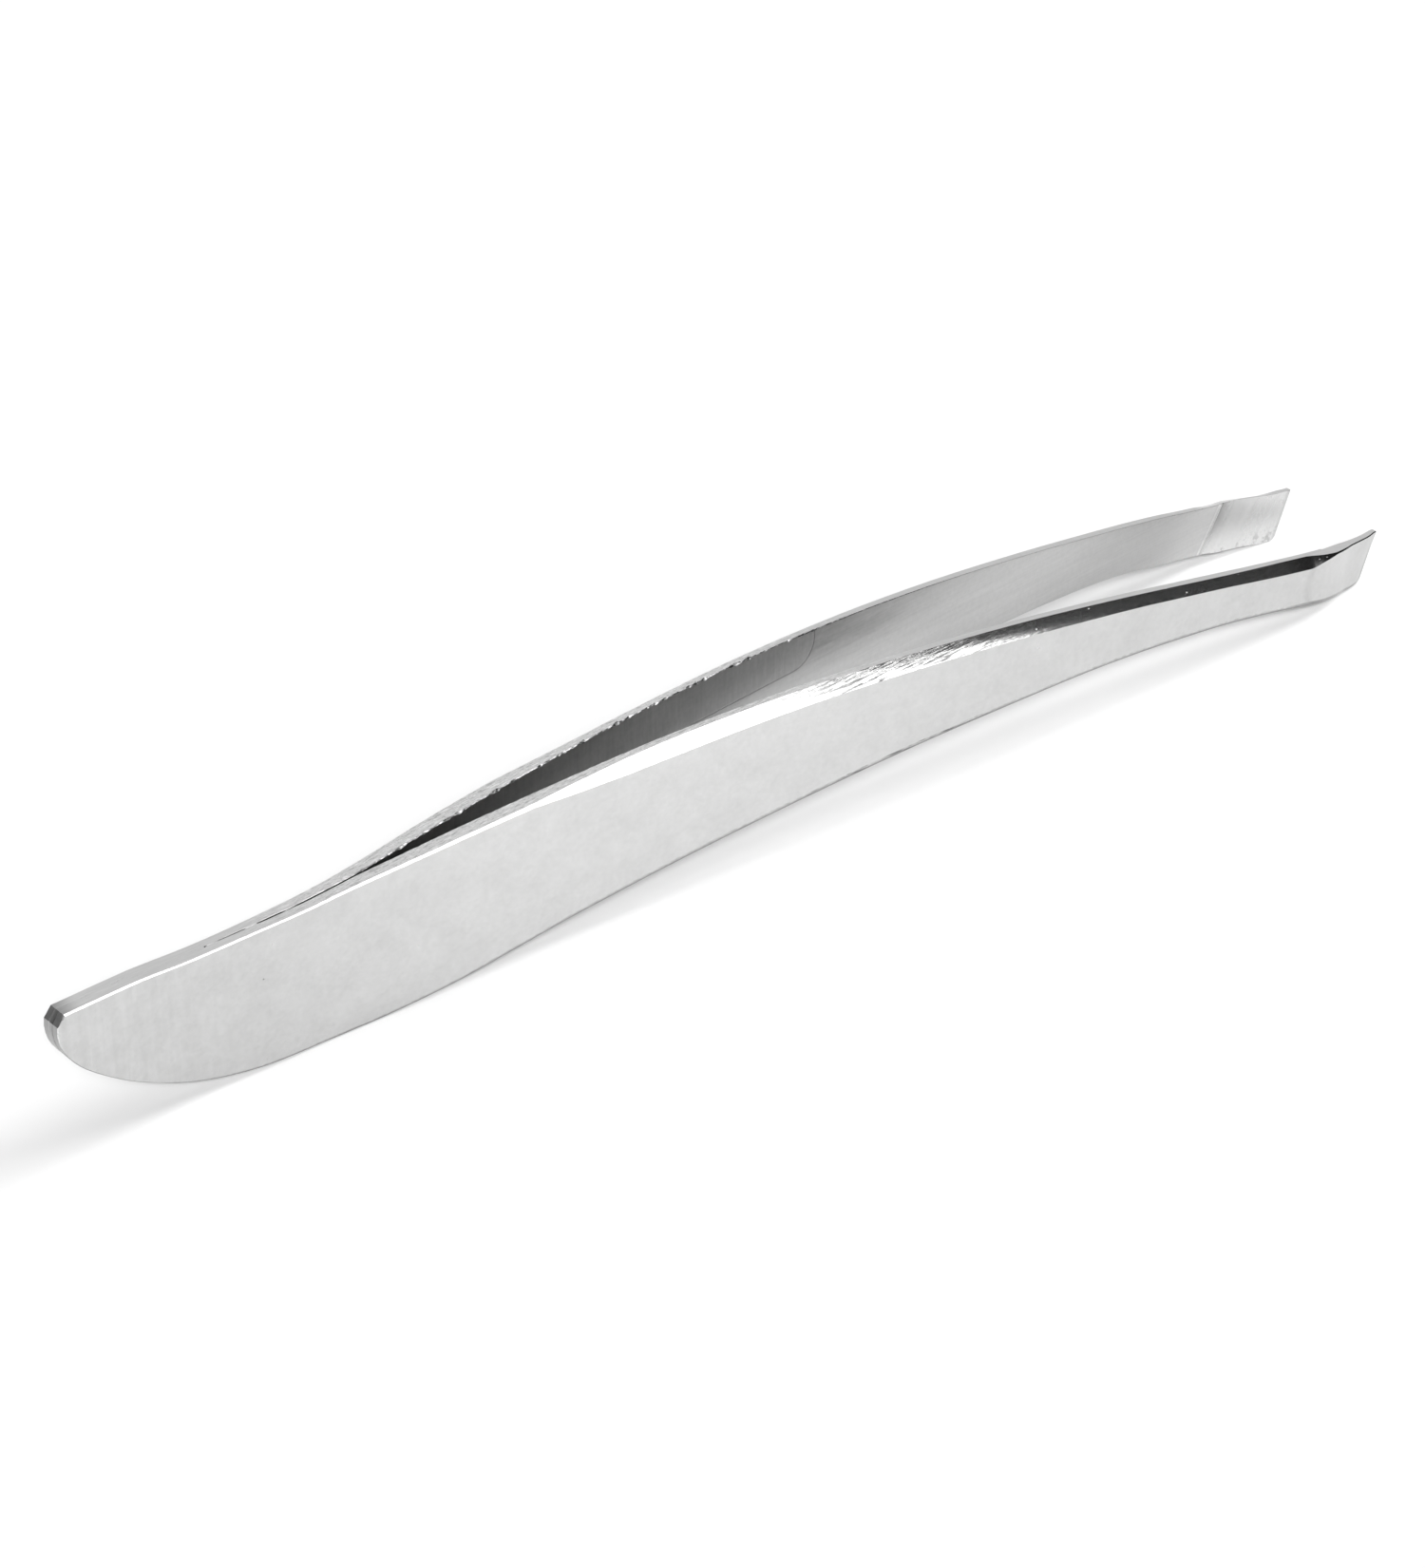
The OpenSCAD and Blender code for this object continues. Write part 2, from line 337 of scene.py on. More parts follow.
def rungs():
    """Upper and lower ends of the rungs that divide the side of an arm, from butt to tip."""
    s = np.concatenate([
        np.arange(UPPER[0][0], FINE_FROM, COARSE_STEP), np.arange(FINE_FROM, FINE_TO, FINE_STEP),
        np.arange(FINE_TO, RIDGE_AT - BEFORE_RIDGE, COARSE_STEP),
    ])
    corner_s, corner_z = corner(-CORNER_FALL)
    last_top = settled(corner_s, lambda last: corner_s + math.tan(SLANT) * (top_z(last) - corner_z))
    tip = np.arange(RIDGE_AT + PAST_RIDGE, last_top - CORNER_CLEARANCE, TIP_STEP)
    blade = np.concatenate([s[s >= FAN_END], RIDGE_AT + RIDGE_STATIONS, tip])
    parts = [fan_rungs(s[s < FAN_END]), blade_rungs(blade), corner_rungs()]
    return np.vstack([top for top, _ in parts]), np.vstack([low for _, low in parts])


UPPER_CREST = max(z for _, z in UPPER)
TOP, LOW = rungs()
RUNG_S = TOP[:, 0]
COUNT = len(TOP)


def inward(run, before, after, side):
    """Unit offsets into the face at each point of an edge, mitred where it meets the next edge."""
    full = np.vstack([before, run, after])
    d = np.diff(full, axis=0)
    d /= np.hypot(d[:, 0], d[:, 1])[:, None]
    n = side * np.column_stack([-d[:, 1], d[:, 0]])
    m = n[:-1] + n[1:]
    return m / (m * n[1:]).sum(1)[:, None]


TOP_IN = inward(TOP, LOW[0], LOW[-1], -1)
LOW_IN = inward(LOW, TOP[0], TOP[-1], 1)


# ---------------------------------------------------------------- faces of one arm
def thickness(s):
    """The strip is ground thinner at the tail."""
    return TAIL_THICKNESS + (BLADE_THICKNESS - TAIL_THICKNESS) * curve(THICKENING, s)


def weld_notch(s):
    """Where the weld fills the seam, the arm's own face stands back from it."""
    return WELD_HALF_WIDTH * (1 - smooth((s - WELD_LENGTH) / 0.12 + 0.5))


def slit(s):
    """Half width of the seam between the weld and the parting of the arms: dashes that join up."""
    dash = smooth((np.sin(s * 2.4) + 0.6 * np.sin(s * 5.3 + 1) + 0.7) * 1.2)
    opened = 0.4 + 0.6 * smooth((s - WELD_LENGTH - 0.4) / 5)
    joined = smooth((s - 13) / 4)
    begun = smooth((s - WELD_LENGTH) / 0.5)
    return SLIT_HALF_WIDTH * begun * opened * np.maximum(dash, joined)


def inner_y(s):
    """Inner face: the sprung curve of the strip, then the step down into the hollow-ground tip."""
    main = np.maximum(curve(GAP, s), np.maximum(weld_notch(s), slit(s)))
    share = np.clip((s - RIDGE_AT) / (LENGTH - LAND - RIDGE_AT), 0, 1)
    step = RIDGE_STEP * smooth((s - RIDGE_AT) / 0.1) * (1 - share) ** 2
    ground = HALF_GAP + (GRIP_GAP - HALF_GAP) * share + step + 4 * HOLLOW * share * (1 - share)
    lip = RIDGE_LIP * np.exp(-((s - RIDGE_AT + 0.07) / 0.09) ** 2)
    return np.where(s <= RIDGE_AT, main, ground) - lip


def crease(z):
    """Where the ground face of the tip begins on the outer side, at height z."""
    return CREASE_AT + CREASE_BOW * (np.minimum(z, UPPER[-2][1]) - CREASE_Z) ** 2


def outer_y(rung_s, s, z):
    """Outer face: the strip, then the face that is ground inwards to the gripping edge."""
    main = np.minimum(curve(GAP, rung_s), HALF_GAP) + thickness(rung_s)
    end = LENGTH - math.tan(SLANT) * (UPPER[-1][1] - z)
    share = np.clip((s - crease(z)) / (end - crease(z)), 0, 1)
    return main + (GRIP_GAP + GRIP_THICKNESS - main) * curve(TIP_OUTER, share)


def chips(seed, amount):
    """Size of the broken inner upper edge: a fine chamfer, bitten where shearing tore the steel."""
    rng = np.random.default_rng(seed)
    fine = 0.006 + 0.024 * smooth((RUNG_S - WELD_LENGTH) / 6) * (1 - 0.6 * smooth((RUNG_S - 60) / 10))
    rough = rng.random(COUNT)
    rough = 0.55 * rough + 0.3 * np.roll(rough, 1) + 0.15 * np.roll(rough, 2)
    return fine + amount * along(TORN_STRETCH, RUNG_S) * np.clip(rough - 0.5, 0, 1) * 0.2


def flakes(seed, amount):
    """Height of the torn flakes that stand up along the inner upper edge."""
    rng = np.random.default_rng(seed)
    below_crest = np.clip((UPPER_CREST - TOP[:, 1]) / 0.1, 0, 1)
    tall = np.clip(rng.random(COUNT) - 0.6, 0, 1) * 0.1
    return amount * along(FLAKED_STRETCH, RUNG_S) * below_crest * tall


def ring_points(inset_top, inset_low, y_top, y_low):
    """One ring round the arm: along the top, down the slanted end, back below, up the facet."""
    top = np.column_stack([TOP + TOP_IN * inset_top[:, None], y_top])
    low = np.column_stack([LOW + LOW_IN * inset_low[:, None], y_low])
    v = (np.arange(1, ROWS) / ROWS)[:, None]
    end = top[-1] * (1 - v) + low[-1] * v
    facet = low[0] * (1 - v) + top[0] * v
    return np.vstack([top, end, low[::-1], facet])


def face_grid(inset_top, inset_low, y_of):
    """Points of one broad face, as rungs by rows."""
    top = TOP + TOP_IN * inset_top[:, None]
    low = LOW + LOW_IN * inset_low[:, None]
    v = (np.arange(ROWS + 1) / ROWS)[None, :, None]
    flat = top[:, None, :] * (1 - v) + low[:, None, :] * v
    y = y_of(flat[:, :, 0], flat[:, :, 1])
    return np.dstack([flat, y])


def arm_points(hand):
    """The points of one arm: its outer face, the rings round its edge, its inner face."""
    bevel_y, bevel_z = straight(TOP_BEVEL_Y, RUNG_S), straight(TOP_BEVEL_Z, RUNG_S)
    below_y, below_z = straight(LOW_BEVEL_Y, LOW[:, 0]), straight(LOW_BEVEL_Z, LOW[:, 0])
    chip, flake = chips(hand["seed"], hand["torn"]), flakes(hand["seed"] + 1, hand["torn"])
    roll = hand["rolled"] * along(ROLLED_STRETCH, RUNG_S)
    low_chip = np.full(COUNT, LOW_CHAMFER)
    rung = np.repeat(RUNG_S[:, None], ROWS + 1, axis=1)

    outer = face_grid(bevel_z + roll, below_z, lambda s, z: outer_y(rung, s, z))
    inner = face_grid(chip, low_chip, lambda s, z: inner_y(rung))
    out_top, out_low = outer[:, 0, 2], outer[:, -1, 2]
    in_top, in_low = inner[:, 0, 2], inner[:, -1, 2]

    def bevel_ring(t):
        """A ring on the bevel: t 0 at the face, 1 at the strip. The bevel is a little crowned."""
        bulge = 4 * t * (1 - t)
        top_bulge, low_bulge = TOP_CROWN * bulge, LOW_CROWN * bulge
        return ring_points(roll + bevel_z * (1 - t - top_bulge), below_z * (1 - t - low_bulge),
                           out_top - bevel_y * (t - top_bulge), out_low - below_y * (t - low_bulge))

    def strip_ring(t):
        """A ring on the strip: t 0 at the bevel, 1 at the inner edge, where the flakes stand up."""
        y_top = (out_top - bevel_y) * (1 - t) + (in_top + chip) * t
        y_low = (out_low - below_y) * (1 - t) + (in_low + low_chip) * t
        lift = -flake * (t == 1)
        return ring_points(roll * (1 - t) + lift, np.zeros(COUNT), y_top, y_low)

    rings = [bevel_ring(t) for t in np.arange(1, BEVEL_RINGS) / BEVEL_RINGS]
    rings += [strip_ring(t) for t in np.linspace(0, 1, STRIP_RINGS)]
    points = np.vstack([outer.reshape(-1, 3), *rings, inner.reshape(-1, 3)])

    s, z = points[:, 0], points[:, 1]
    down = np.clip((top_z(s) - z) / (top_z(s) - low_z(s)), 0, 1)
    deep = hand["deep"] * along(DEEP_STRETCH, s) * down
    points[:, 1] -= deep + hand["dipped"] * along(DIPPED_STRETCH, s) * (1 - down)
    return points


# The finishes of an arm, in the order of its materials
OUTER, INNER, BEVEL, STRIP, TIP_INSIDE, BURR = range(6)
RING_ZONES = [BEVEL] * BEVEL_RINGS + [STRIP] * (STRIP_RINGS - 1) + [BURR]


def grid_border(grid):
    """The border of a grid in the order of a ring."""
    return np.concatenate([grid[:, 0], grid[-1, 1:-1], grid[::-1, -1], grid[0, -2:0:-1]])


def arm_faces():
    """The faces of an arm as indices of its points, and the finish of each."""
    grid = np.arange(COUNT * (ROWS + 1)).reshape(COUNT, ROWS + 1)
    ring = np.arange(len(grid_border(grid)))
    inner_start = grid.size + (len(RING_ZONES) - 1) * ring.size
    rings = [grid_border(grid)]
    rings += [ring + grid.size + k * ring.size for k in range(len(RING_ZONES) - 1)]
    rings.append(grid_border(grid) + inner_start)

    quads = np.stack([grid[:-1, :-1], grid[:-1, 1:], grid[1:, 1:], grid[1:, :-1]], axis=-1).reshape(-1, 4)
    past_ridge = np.repeat(RUNG_S[:-1], ROWS) >= RIDGE_AT - 0.01
    faces = [quads, (quads + inner_start)[:, ::-1]]
    kinds = [np.full(len(quads), OUTER), np.where(past_ridge, TIP_INSIDE, INNER)]
    for a, b, zone in zip(rings, rings[1:], RING_ZONES):
        faces.append(np.stack([a, np.roll(a, -1), np.roll(b, -1), b], axis=-1))
        kinds.append(np.full(len(a), zone))
    return np.vstack(faces), np.concatenate(kinds)


def new_piece(name, points, faces, side=1):
    """An object with a smooth mesh from points (s, z, y) in millimetres."""
    co = np.column_stack([points[:, 0] * STRETCH + BUTT_X, side * points[:, 2], points[:, 1]]) * MM
    mesh = bpy.data.meshes.new(name)
    mesh.from_pydata(co.tolist(), [], faces)
    mesh.shade_smooth()
    piece = bpy.data.objects.new(name, mesh)
    bpy.context.scene.collection.objects.link(piece)
    return piece


def crisp_edges(mesh):
    """Marks an edge sharp where two differently finished faces meet, or where the surface turns hard."""
    mesh.set_sharp_from_angle(angle=SHARP_ANGLE)
    shared = {}
    for face in mesh.polygons:
        for key in face.edge_keys:
            shared.setdefault(key, set()).add(face.material_index)
    sharp = mesh.attributes["sharp_edge"].data
    for edge in mesh.edges:
        if len(shared[edge.key]) > 1:
            sharp[edge.index].value = True


def make_arm(name, hand, materials):
    """One arm as a closed mesh, curved like a spring between the tail and its blade."""
    faces, kinds = arm_faces()
    if hand["side"] > 0:
        faces = faces[:, ::-1]
    arm = new_piece(name + "_steel", arm_points(hand), faces.tolist(), hand["side"])
    arm.data.polygons.foreach_set("material_index", kinds.astype(np.int32))
    arm.data.update()
    crisp_edges(arm.data)
    for material in materials:
        arm.data.materials.append(material)
    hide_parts(name + "_tail", name + "_blade")
    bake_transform(arm)


# ---------------------------------------------------------------- weld
def weld_path():
    """The line of the weld: from under the tail, up round the butt and forward along the top."""
    end = WELD_LENGTH + WELD_OVERLAP
    under = LOW_EDGE[LOW_EDGE[:, 0] < end][::-1]
    s = np.arange(UPPER[0][0], end, WELD_STEP)
    over = np.column_stack([s, top_z(s)])
    path = np.vstack([under, over])
    d = np.gradient(path, axis=0)
    normal = np.column_stack([-d[:, 1], d[:, 0]])
    return path, normal / np.hypot(normal[:, 0], normal[:, 1])[:, None]


def make_weld():
    """The fused seam: a shallow crowned bead that follows the edge round the butt."""
    path, normal = weld_path()
    length = len(path)
    rng = np.random.default_rng(5)
    ripple = WELD_RIPPLE * np.convolve(rng.random(length + 4), np.ones(5) / 5, "valid")
    rows = []
    for across in np.linspace(-1, 1, WELD_ROWS):
        out = (WELD_CROWN + ripple) * (1 - across * across)
        y = np.full(length, across * WELD_HALF_WIDTH)
        rows.append(np.column_stack([path + normal * out[:, None], y]))
    for across in (1, -1):
        y = np.full(length, across * WELD_HALF_WIDTH)
        rows.append(np.column_stack([path - normal * WELD_DEPTH, y]))
    count = len(rows)
    faces = []
    for i in range(count):
        j = (i + 1) % count
        for m in range(length - 1):
            faces.append((i * length + m, i * length + m + 1, j * length + m + 1, j * length + m))
    faces.append([i * length for i in range(count)])
    faces.append([i * length + length - 1 for i in reversed(range(count))])
    weld = new_piece("butt_weld_bead", np.vstack(rows), faces)
    weld.data.set_sharp_from_angle(angle=SHARP_ANGLE)
    weld.data.materials.append(steel("weld_steel", weld_finish))
    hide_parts("butt_weld")
    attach(weld, "tail")


# ---------------------------------------------------------------- materials
class Nodes:
    """Short calls for building a node tree."""

    def __init__(self, tree):
        self.tree = tree

    def put(self, value, socket):
        """Links a socket to a node's output, or gives it a plain value."""
        if isinstance(value, bpy.types.NodeSocket):
            self.tree.links.new(value, socket)
        else:
            socket.default_value = value

    def node(self, kind, inputs=None, **settings):
        made = self.tree.nodes.new(kind)
        for key, value in settings.items():
            setattr(made, key, value)
        for key, value in (inputs or {}).items():
            self.put(value, made.inputs[key])
        return made

    def math(self, operation, a, b=0.0, c=0.0):
        made = self.node("ShaderNodeMath", operation=operation)
        for socket, value in zip(made.inputs, (a, b, c)):
            self.put(value, socket)
        return made.outputs[0]

    def both(self, a, b):
        """Where both masks are 1."""
        return self.math("MULTIPLY", a, b)

    def add(self, value, mask, amount):
        """value raised by an amount where the mask is 1."""
        return self.math("MULTIPLY_ADD", mask, amount, value)

    def vary(self, value, noise, amount):
        """value varied up and down by a noise."""
        return self.add(value, self.math("SUBTRACT", noise, 0.5), amount)

    def dim(self, value, mask, share):
        """value lowered by a share of itself where the mask is 1."""
        return self.math("MULTIPLY", value, self.add(1.0, mask, -share))

    def ramp(self, value, low, high, to_low=0.0, to_high=1.0):
        """value carried smoothly from low..high to to_low..to_high, and held outside that."""
        made = self.node("ShaderNodeMapRange", clamp=True, interpolation_type="SMOOTHSTEP")
        for key, v in (("Value", value), ("From Min", low), ("From Max", high),
                       ("To Min", to_low), ("To Max", to_high)):
            self.put(v, made.inputs[key])
        return made.outputs["Result"]

    def noise(self, vector, scale, detail=3.0, rough=0.55, distortion=0.0):
        """Noise stretched by a scale in x, y and z, in features per millimetre."""
        placed = self.node("ShaderNodeMapping", {"Vector": vector, "Scale": scale})
        made = self.node("ShaderNodeTexNoise", {
            "Vector": placed.outputs[0], "Scale": 1.0, "Detail": detail,
            "Roughness": rough, "Distortion": distortion,
        })
        return made.outputs["Fac"]

    def dots(self, vector, scale, size):
        """Sparse small dots: 1 inside a dot, 0 outside."""
        placed = self.node("ShaderNodeMapping", {"Vector": vector, "Scale": scale})
        made = self.node("ShaderNodeTexVoronoi", {"Vector": placed.outputs[0], "Scale": 1.0})
        return self.ramp(made.outputs["Distance"], size, size * 0.6)

    def blend(self, share, a, b):
        """a where share is 0, b where it is 1."""
        made = self.node("ShaderNodeMix", data_type="FLOAT")
        self.put(share, made.inputs[0])
        self.put(a, made.inputs[2])
        self.put(b, made.inputs[3])
        return made.outputs[0]


def steel(name, describe):
    """A polished or ground steel: describe(n, p, s, z) gives its shade, roughness and relief in mm."""
    material = bpy.data.materials.new(name)
    material.use_nodes = True
    tree = material.node_tree
    tree.nodes.clear()
    n = Nodes(tree)
    place = n.node("ShaderNodeTexCoord")
    p = n.node("ShaderNodeMapping", {"Vector": place.outputs["Object"], "Scale": (1 / MM,) * 3}).outputs[0]
    parts = n.node("ShaderNodeSeparateXYZ", {0: p})
    s = n.math("DIVIDE", n.math("SUBTRACT", parts.outputs["X"], BUTT_X), STRETCH)
    shade, roughness, relief = describe(n, p, s, parts.outputs["Z"])
    tint = n.node("ShaderNodeCombineColor", {
        "Red": shade, "Green": shade, "Blue": n.math("MULTIPLY", shade, 0.997),
    })
    bump = n.node("ShaderNodeBump", {"Height": relief, "Distance": MM, "Strength": 1.0})
    surface = n.node("ShaderNodeBsdfPrincipled", {
        "Base Color": tint.outputs[0], "Metallic": 1.0, "Roughness": roughness, "Normal": bump.outputs[0],
    })
    out = n.node("ShaderNodeOutputMaterial")
    tree.links.new(surface.outputs[0], out.inputs[0])
    return material


def past_crease(n, s, z):
    """Distance past the crease where the ground outer face of the tip begins."""
    above = n.math("SUBTRACT", z, CREASE_Z)
    return n.math("SUBTRACT", s, n.add(CREASE_AT, n.math("MULTIPLY", above, above), CREASE_BOW))


def past_ridge(n, s, z):
    """Distance past the leaning ridge where the ground inner face of the tip begins."""
    slope = math.tan(RIDGE_LEAN)
    foot = RIDGE_AT - slope * UPPER[-2][1]
    return n.math("SUBTRACT", n.add(s, z, -slope), foot)


def past_cross_grinding(n, s, z):
    """Distance past the rounded corner of the rear zone that was ground across."""
    corner_s, corner_z, radius = 54.2, 7.5, 1.7
    a = n.math("MAXIMUM", n.math("SUBTRACT", s, corner_s - radius), 0.0)
    b = n.math("MAXIMUM", n.math("SUBTRACT", corner_z + radius, z), 0.0)
    far = n.math("SQRT", n.math("ADD", n.math("MULTIPLY", a, a), n.math("MULTIPLY", b, b)))
    return n.math("SUBTRACT", far, radius)


def painted_shade_at_butt(n, s, shade):
    """Painted shade: the butt is made darker towards its end."""
    return n.math("MULTIPLY", shade, n.ramp(s, 0.2, 1.9, 0.5, 1.0))


def outer_finish(n, p, s, z):
    """Polished and tumbled: faint mottling, a few pits, wavy upright streaks near the butt, painted shade
    darker towards the lower edge and a painted dark line along the crease of the tip.
    """
    mottle = n.noise(p, (0.55, 0.55, 0.7), 4.0, 0.65, 0.4)
    grain = n.noise(p, (2.6, 2.6, 3.2), 3.0, 0.7)
    wavy = n.noise(p, (2.2, 0.2, 0.16), 2.0, 0.5, 0.5)
    near_butt = n.ramp(s, 13.0, 3.0)
    pits = n.dots(p, (0.2, 0.2, 0.24), 0.02)
    hairs = n.both(n.dots(p, (0.11, 0.3, 1.1), 0.03), n.ramp(s, 20.0, 28.0))
    painted_shade_at_crease = n.ramp(n.math("ABSOLUTE", past_crease(n, s, z)), 0.5, 0.0)

    # Painted shade: the face is darker towards its lower edge.
    shade = n.add(0.548, z, 0.008)
    shade = n.vary(shade, mottle, 0.14)
    shade = n.vary(shade, grain, 0.13)
    shade = n.add(shade, n.both(n.math("SUBTRACT", wavy, 0.5), near_butt), 0.14)
    shade = n.add(shade, n.ramp(s, 8.0, 28.0), 0.065)
    shade = n.add(shade, n.ramp(s, 48.0, 66.0), -0.03)
    shade = n.add(shade, pits, -0.35)
    shade = n.add(shade, hairs, -0.15)
    # Painted shade: a soft dark line along the crease of the tip.
    shade = n.add(shade, painted_shade_at_crease, -0.06)

    roughness = n.add(0.2, mottle, 0.1)
    relief = n.add(n.math("MULTIPLY", mottle, 0.004), pits, -0.02)
    return shade, roughness, n.add(relief, grain, 0.0008)


def inner_finish(n, p, s, z):
    """Brushed lengthwise, with a rear zone ground across that ends in a curved line."""
    past = past_cross_grinding(n, s, z)
    front = n.ramp(past, -0.05, 0.05)
    line = n.ramp(n.math("ABSOLUTE", past), 0.07, 0.02)
    lengthwise = n.noise(p, (0.16, 1.0, 5.5), 4.0, 0.65)
    across = n.noise(p, (4.5, 1.0, 0.5), 4.0, 0.6)
    stroke = n.blend(front, across, lengthwise)
    broad = n.noise(p, (0.1, 0.5, 0.9), 3.0, 0.6)
    shade_patches = n.noise(p, (0.14, 0.4, 0.9), 5.0, 0.7)
    grain = n.noise(p, (3.2, 2.0, 3.2), 3.0, 0.7)
    painted_shade_low_front = n.both(n.ramp(s, 74.0, 86.0), n.ramp(z, 4.5, 1.2))

    # Painted shade lies in a band under the upper edge, which falls towards the tip
    fallen = n.math("MAXIMUM", n.math("SUBTRACT", s, 50.0), 0.0)
    below_top = n.math("SUBTRACT", 9.6, n.add(z, fallen, 0.12))
    near_top = n.both(n.ramp(below_top, 3.0, 0.3), n.ramp(s, 70.0, 54.0))
    painted_shade_under_top = n.both(n.ramp(shade_patches, 0.3, 0.7, 0.45, 1.0), near_top)
    painted_shade_under_top = n.both(painted_shade_under_top, n.ramp(front, 0.0, 1.0, 0.3, 1.0))
    painted_highlight_at_lip = n.ramp(n.math("ABSOLUTE", n.math("ADD", past_ridge(n, s, z), 0.14)), 0.14, 0.06)

    shade = n.vary(0.6, stroke, 0.16)
    shade = n.vary(shade, broad, 0.1)
    shade = n.vary(shade, grain, 0.12)
    # Painted light: the face is made lighter towards the tip.
    shade = n.add(shade, n.ramp(s, 66.0, 82.0), 0.14)
    # Painted shade towards the lower edge near the tip.
    shade = n.add(shade, painted_shade_low_front, -0.12)
    # Painted shade under the upper edge.
    shade = n.add(shade, painted_shade_under_top, -0.26)
    shade = n.add(shade, n.math("SUBTRACT", 1.0, front), -0.14)
    # Painted highlight along the lip before the ridge.
    shade = n.add(shade, painted_highlight_at_lip, 0.2)
    shade = n.add(shade, line, -0.16)

    roughness = n.add(0.26, stroke, 0.14)
    relief = n.add(n.math("MULTIPLY", stroke, 0.004), line, -0.006)
    return shade, roughness, relief


def bevel_finish(n, p, s, z):
    """Polished bright at the tail, ground lengthwise towards the tips, with painted shade where the bevel
    faces down and at its upper end by the tip.
    """
    coarse = n.both(n.ramp(s, 44.0, 53.0), n.ramp(s, 66.0, 57.0, 0.3, 1.0))
    turning = n.both(n.ramp(s, 46.0, 53.0), n.ramp(s, 66.0, 58.0))
    streak = n.noise(p, (0.6, 8.0, 8.0), 3.0, 0.65)
    fleck = n.noise(p, (3.0, 9.0, 9.0), 2.0, 0.7)
    fine = n.noise(p, (2.6, 8.0, 8.0), 2.0, 0.7)
    speck = n.dots(p, (0.9, 1.9, 1.9), 0.08)
    facing = n.node("ShaderNodeSeparateXYZ", {0: n.node("ShaderNodeTexCoord").outputs["Normal"]}).outputs[2]
    painted_shade_underside = n.ramp(facing, -0.02, -0.6)
    painted_dark_bevel_end = n.both(n.ramp(s, 86.0, 89.9), n.math("SUBTRACT", 1.0, painted_shade_underside))

    shade = n.vary(0.75, fine, 0.95)
    # Painted shade where the bevel faces down.
    shade = n.dim(shade, painted_shade_underside, 0.86)
    shade = n.dim(shade, n.both(n.ramp(streak, 0.5, 0.58), turning), 0.72)
    # Painted shade at the end of the upper bevel by the tip.
    shade = n.dim(shade, painted_dark_bevel_end, 0.68)

    roughness = n.add(0.14, n.both(speck, n.ramp(s, 50.0, 58.0)), 0.45)
    relief = n.math("MULTIPLY", n.both(n.add(streak, fleck, 0.5), coarse), 0.009)
    return shade, roughness, n.add(relief, n.both(speck, coarse), 0.02)


def strip_finish(n, p, s, z):
    """The sheared edge of the strip: lengthwise scratches, torn bright flecks over the spring."""
    scratch = n.noise(p, (0.5, 7.0, 3.0), 4.0, 0.65)
    torn = n.noise(p, (1.6, 7.0, 3.0), 5.0, 0.75)
    spring = n.both(n.ramp(s, 9.0, 20.0), n.ramp(s, 62.0, 40.0))
    fleck = n.both(n.ramp(torn, 0.52, 0.59), spring)
    hollow = n.both(n.ramp(torn, 0.48, 0.4), spring)

    shade = n.vary(0.68, scratch, 0.24)
    shade = n.add(shade, spring, 0.12)
    shade = n.add(shade, fleck, 0.3)
    shade = n.add(shade, hollow, -0.27)

    roughness = n.add(0.24, scratch, 0.15)
    relief = n.add(n.math("MULTIPLY", scratch, 0.006), fleck, 0.012)
    # The strip carries painted shade towards the butt.
    return painted_shade_at_butt(n, s, shade), roughness, relief


def burr_finish(n, p, s, z):
    """Torn inner edge: bright raw flakes beside dark hollows."""
    torn = n.noise(p, (2.2, 6.0, 6.0), 3.0, 0.7)
    spring = n.both(n.ramp(s, 12.0, 22.0), n.ramp(s, 62.0, 48.0))
    darker_stretch = n.both(n.ramp(s, 50.0, 54.0), n.ramp(s, 72.0, 60.0))
    # Along this stretch the edge is darker.
    plain = n.blend(darker_stretch, 0.62, n.ramp(torn, 0.45, 0.6, 0.08, 0.4))
    shade = n.blend(spring, plain, n.ramp(torn, 0.42, 0.6, 0.12, 0.85))
    return shade, n.add(0.2, torn, 0.2), n.math("MULTIPLY", torn, 0.012)


def tip_inside_finish(n, p, s, z):
    """Hollow-ground and stoned: cloudy, with painted shade beside the ridge and a painted shadow under its
    step, dull blots along the lower edge.
    """
    past = past_ridge(n, s, z)
    end = n.add(LENGTH - math.tan(SLANT) * UPPER[-1][1], z, math.tan(SLANT))
    to_end = n.math("SUBTRACT", end, s)
    with_ridge = n.node("ShaderNodeCombineXYZ", {0: past, 1: 0.0, 2: z}).outputs[0]
    cloud = n.noise(with_ridge, (1.1, 1.0, 0.22), 3.0, 0.55)
    grain = n.noise(p, (3.0, 2.0, 3.0), 3.0, 0.7)
    blot = n.noise(p, (1.6, 1.0, 1.8), 3.0, 0.6)

    shade = n.vary(0.74, cloud, 0.16)
    shade = n.vary(shade, grain, 0.1)
    shade = n.add(shade, n.both(n.ramp(blot, 0.5, 0.62), n.ramp(z, 1.3, 0.5)), -0.2)
    # Painted shade on the hollow beside the ridge, higher up.
    shade = n.add(shade, n.both(n.ramp(past, 1.1, 0.1), n.ramp(z, 1.4, 3.2)), -0.2)
    # Painted shadow: a dark line under the step of the ridge.
    shade = n.add(shade, n.ramp(past, 0.4, 0.2), -0.5)
    shade = n.add(shade, n.ramp(to_end, 0.45, 0.1), -0.14)
    return shade, n.add(0.22, cloud, 0.12), n.math("MULTIPLY", cloud, 0.003)


def weld_finish(n, p, s, z):
    """Fused, ground flush and polished with the edges beside it."""
    scratch = n.noise(p, (0.6, 5.0, 3.0), 3.0, 0.6)
    # The weld carries painted shade towards the butt.
    shade = painted_shade_at_butt(n, s, n.vary(0.68, scratch, 0.2))
    return shade, n.add(0.24, scratch, 0.1), n.math("MULTIPLY", scratch, 0.003)


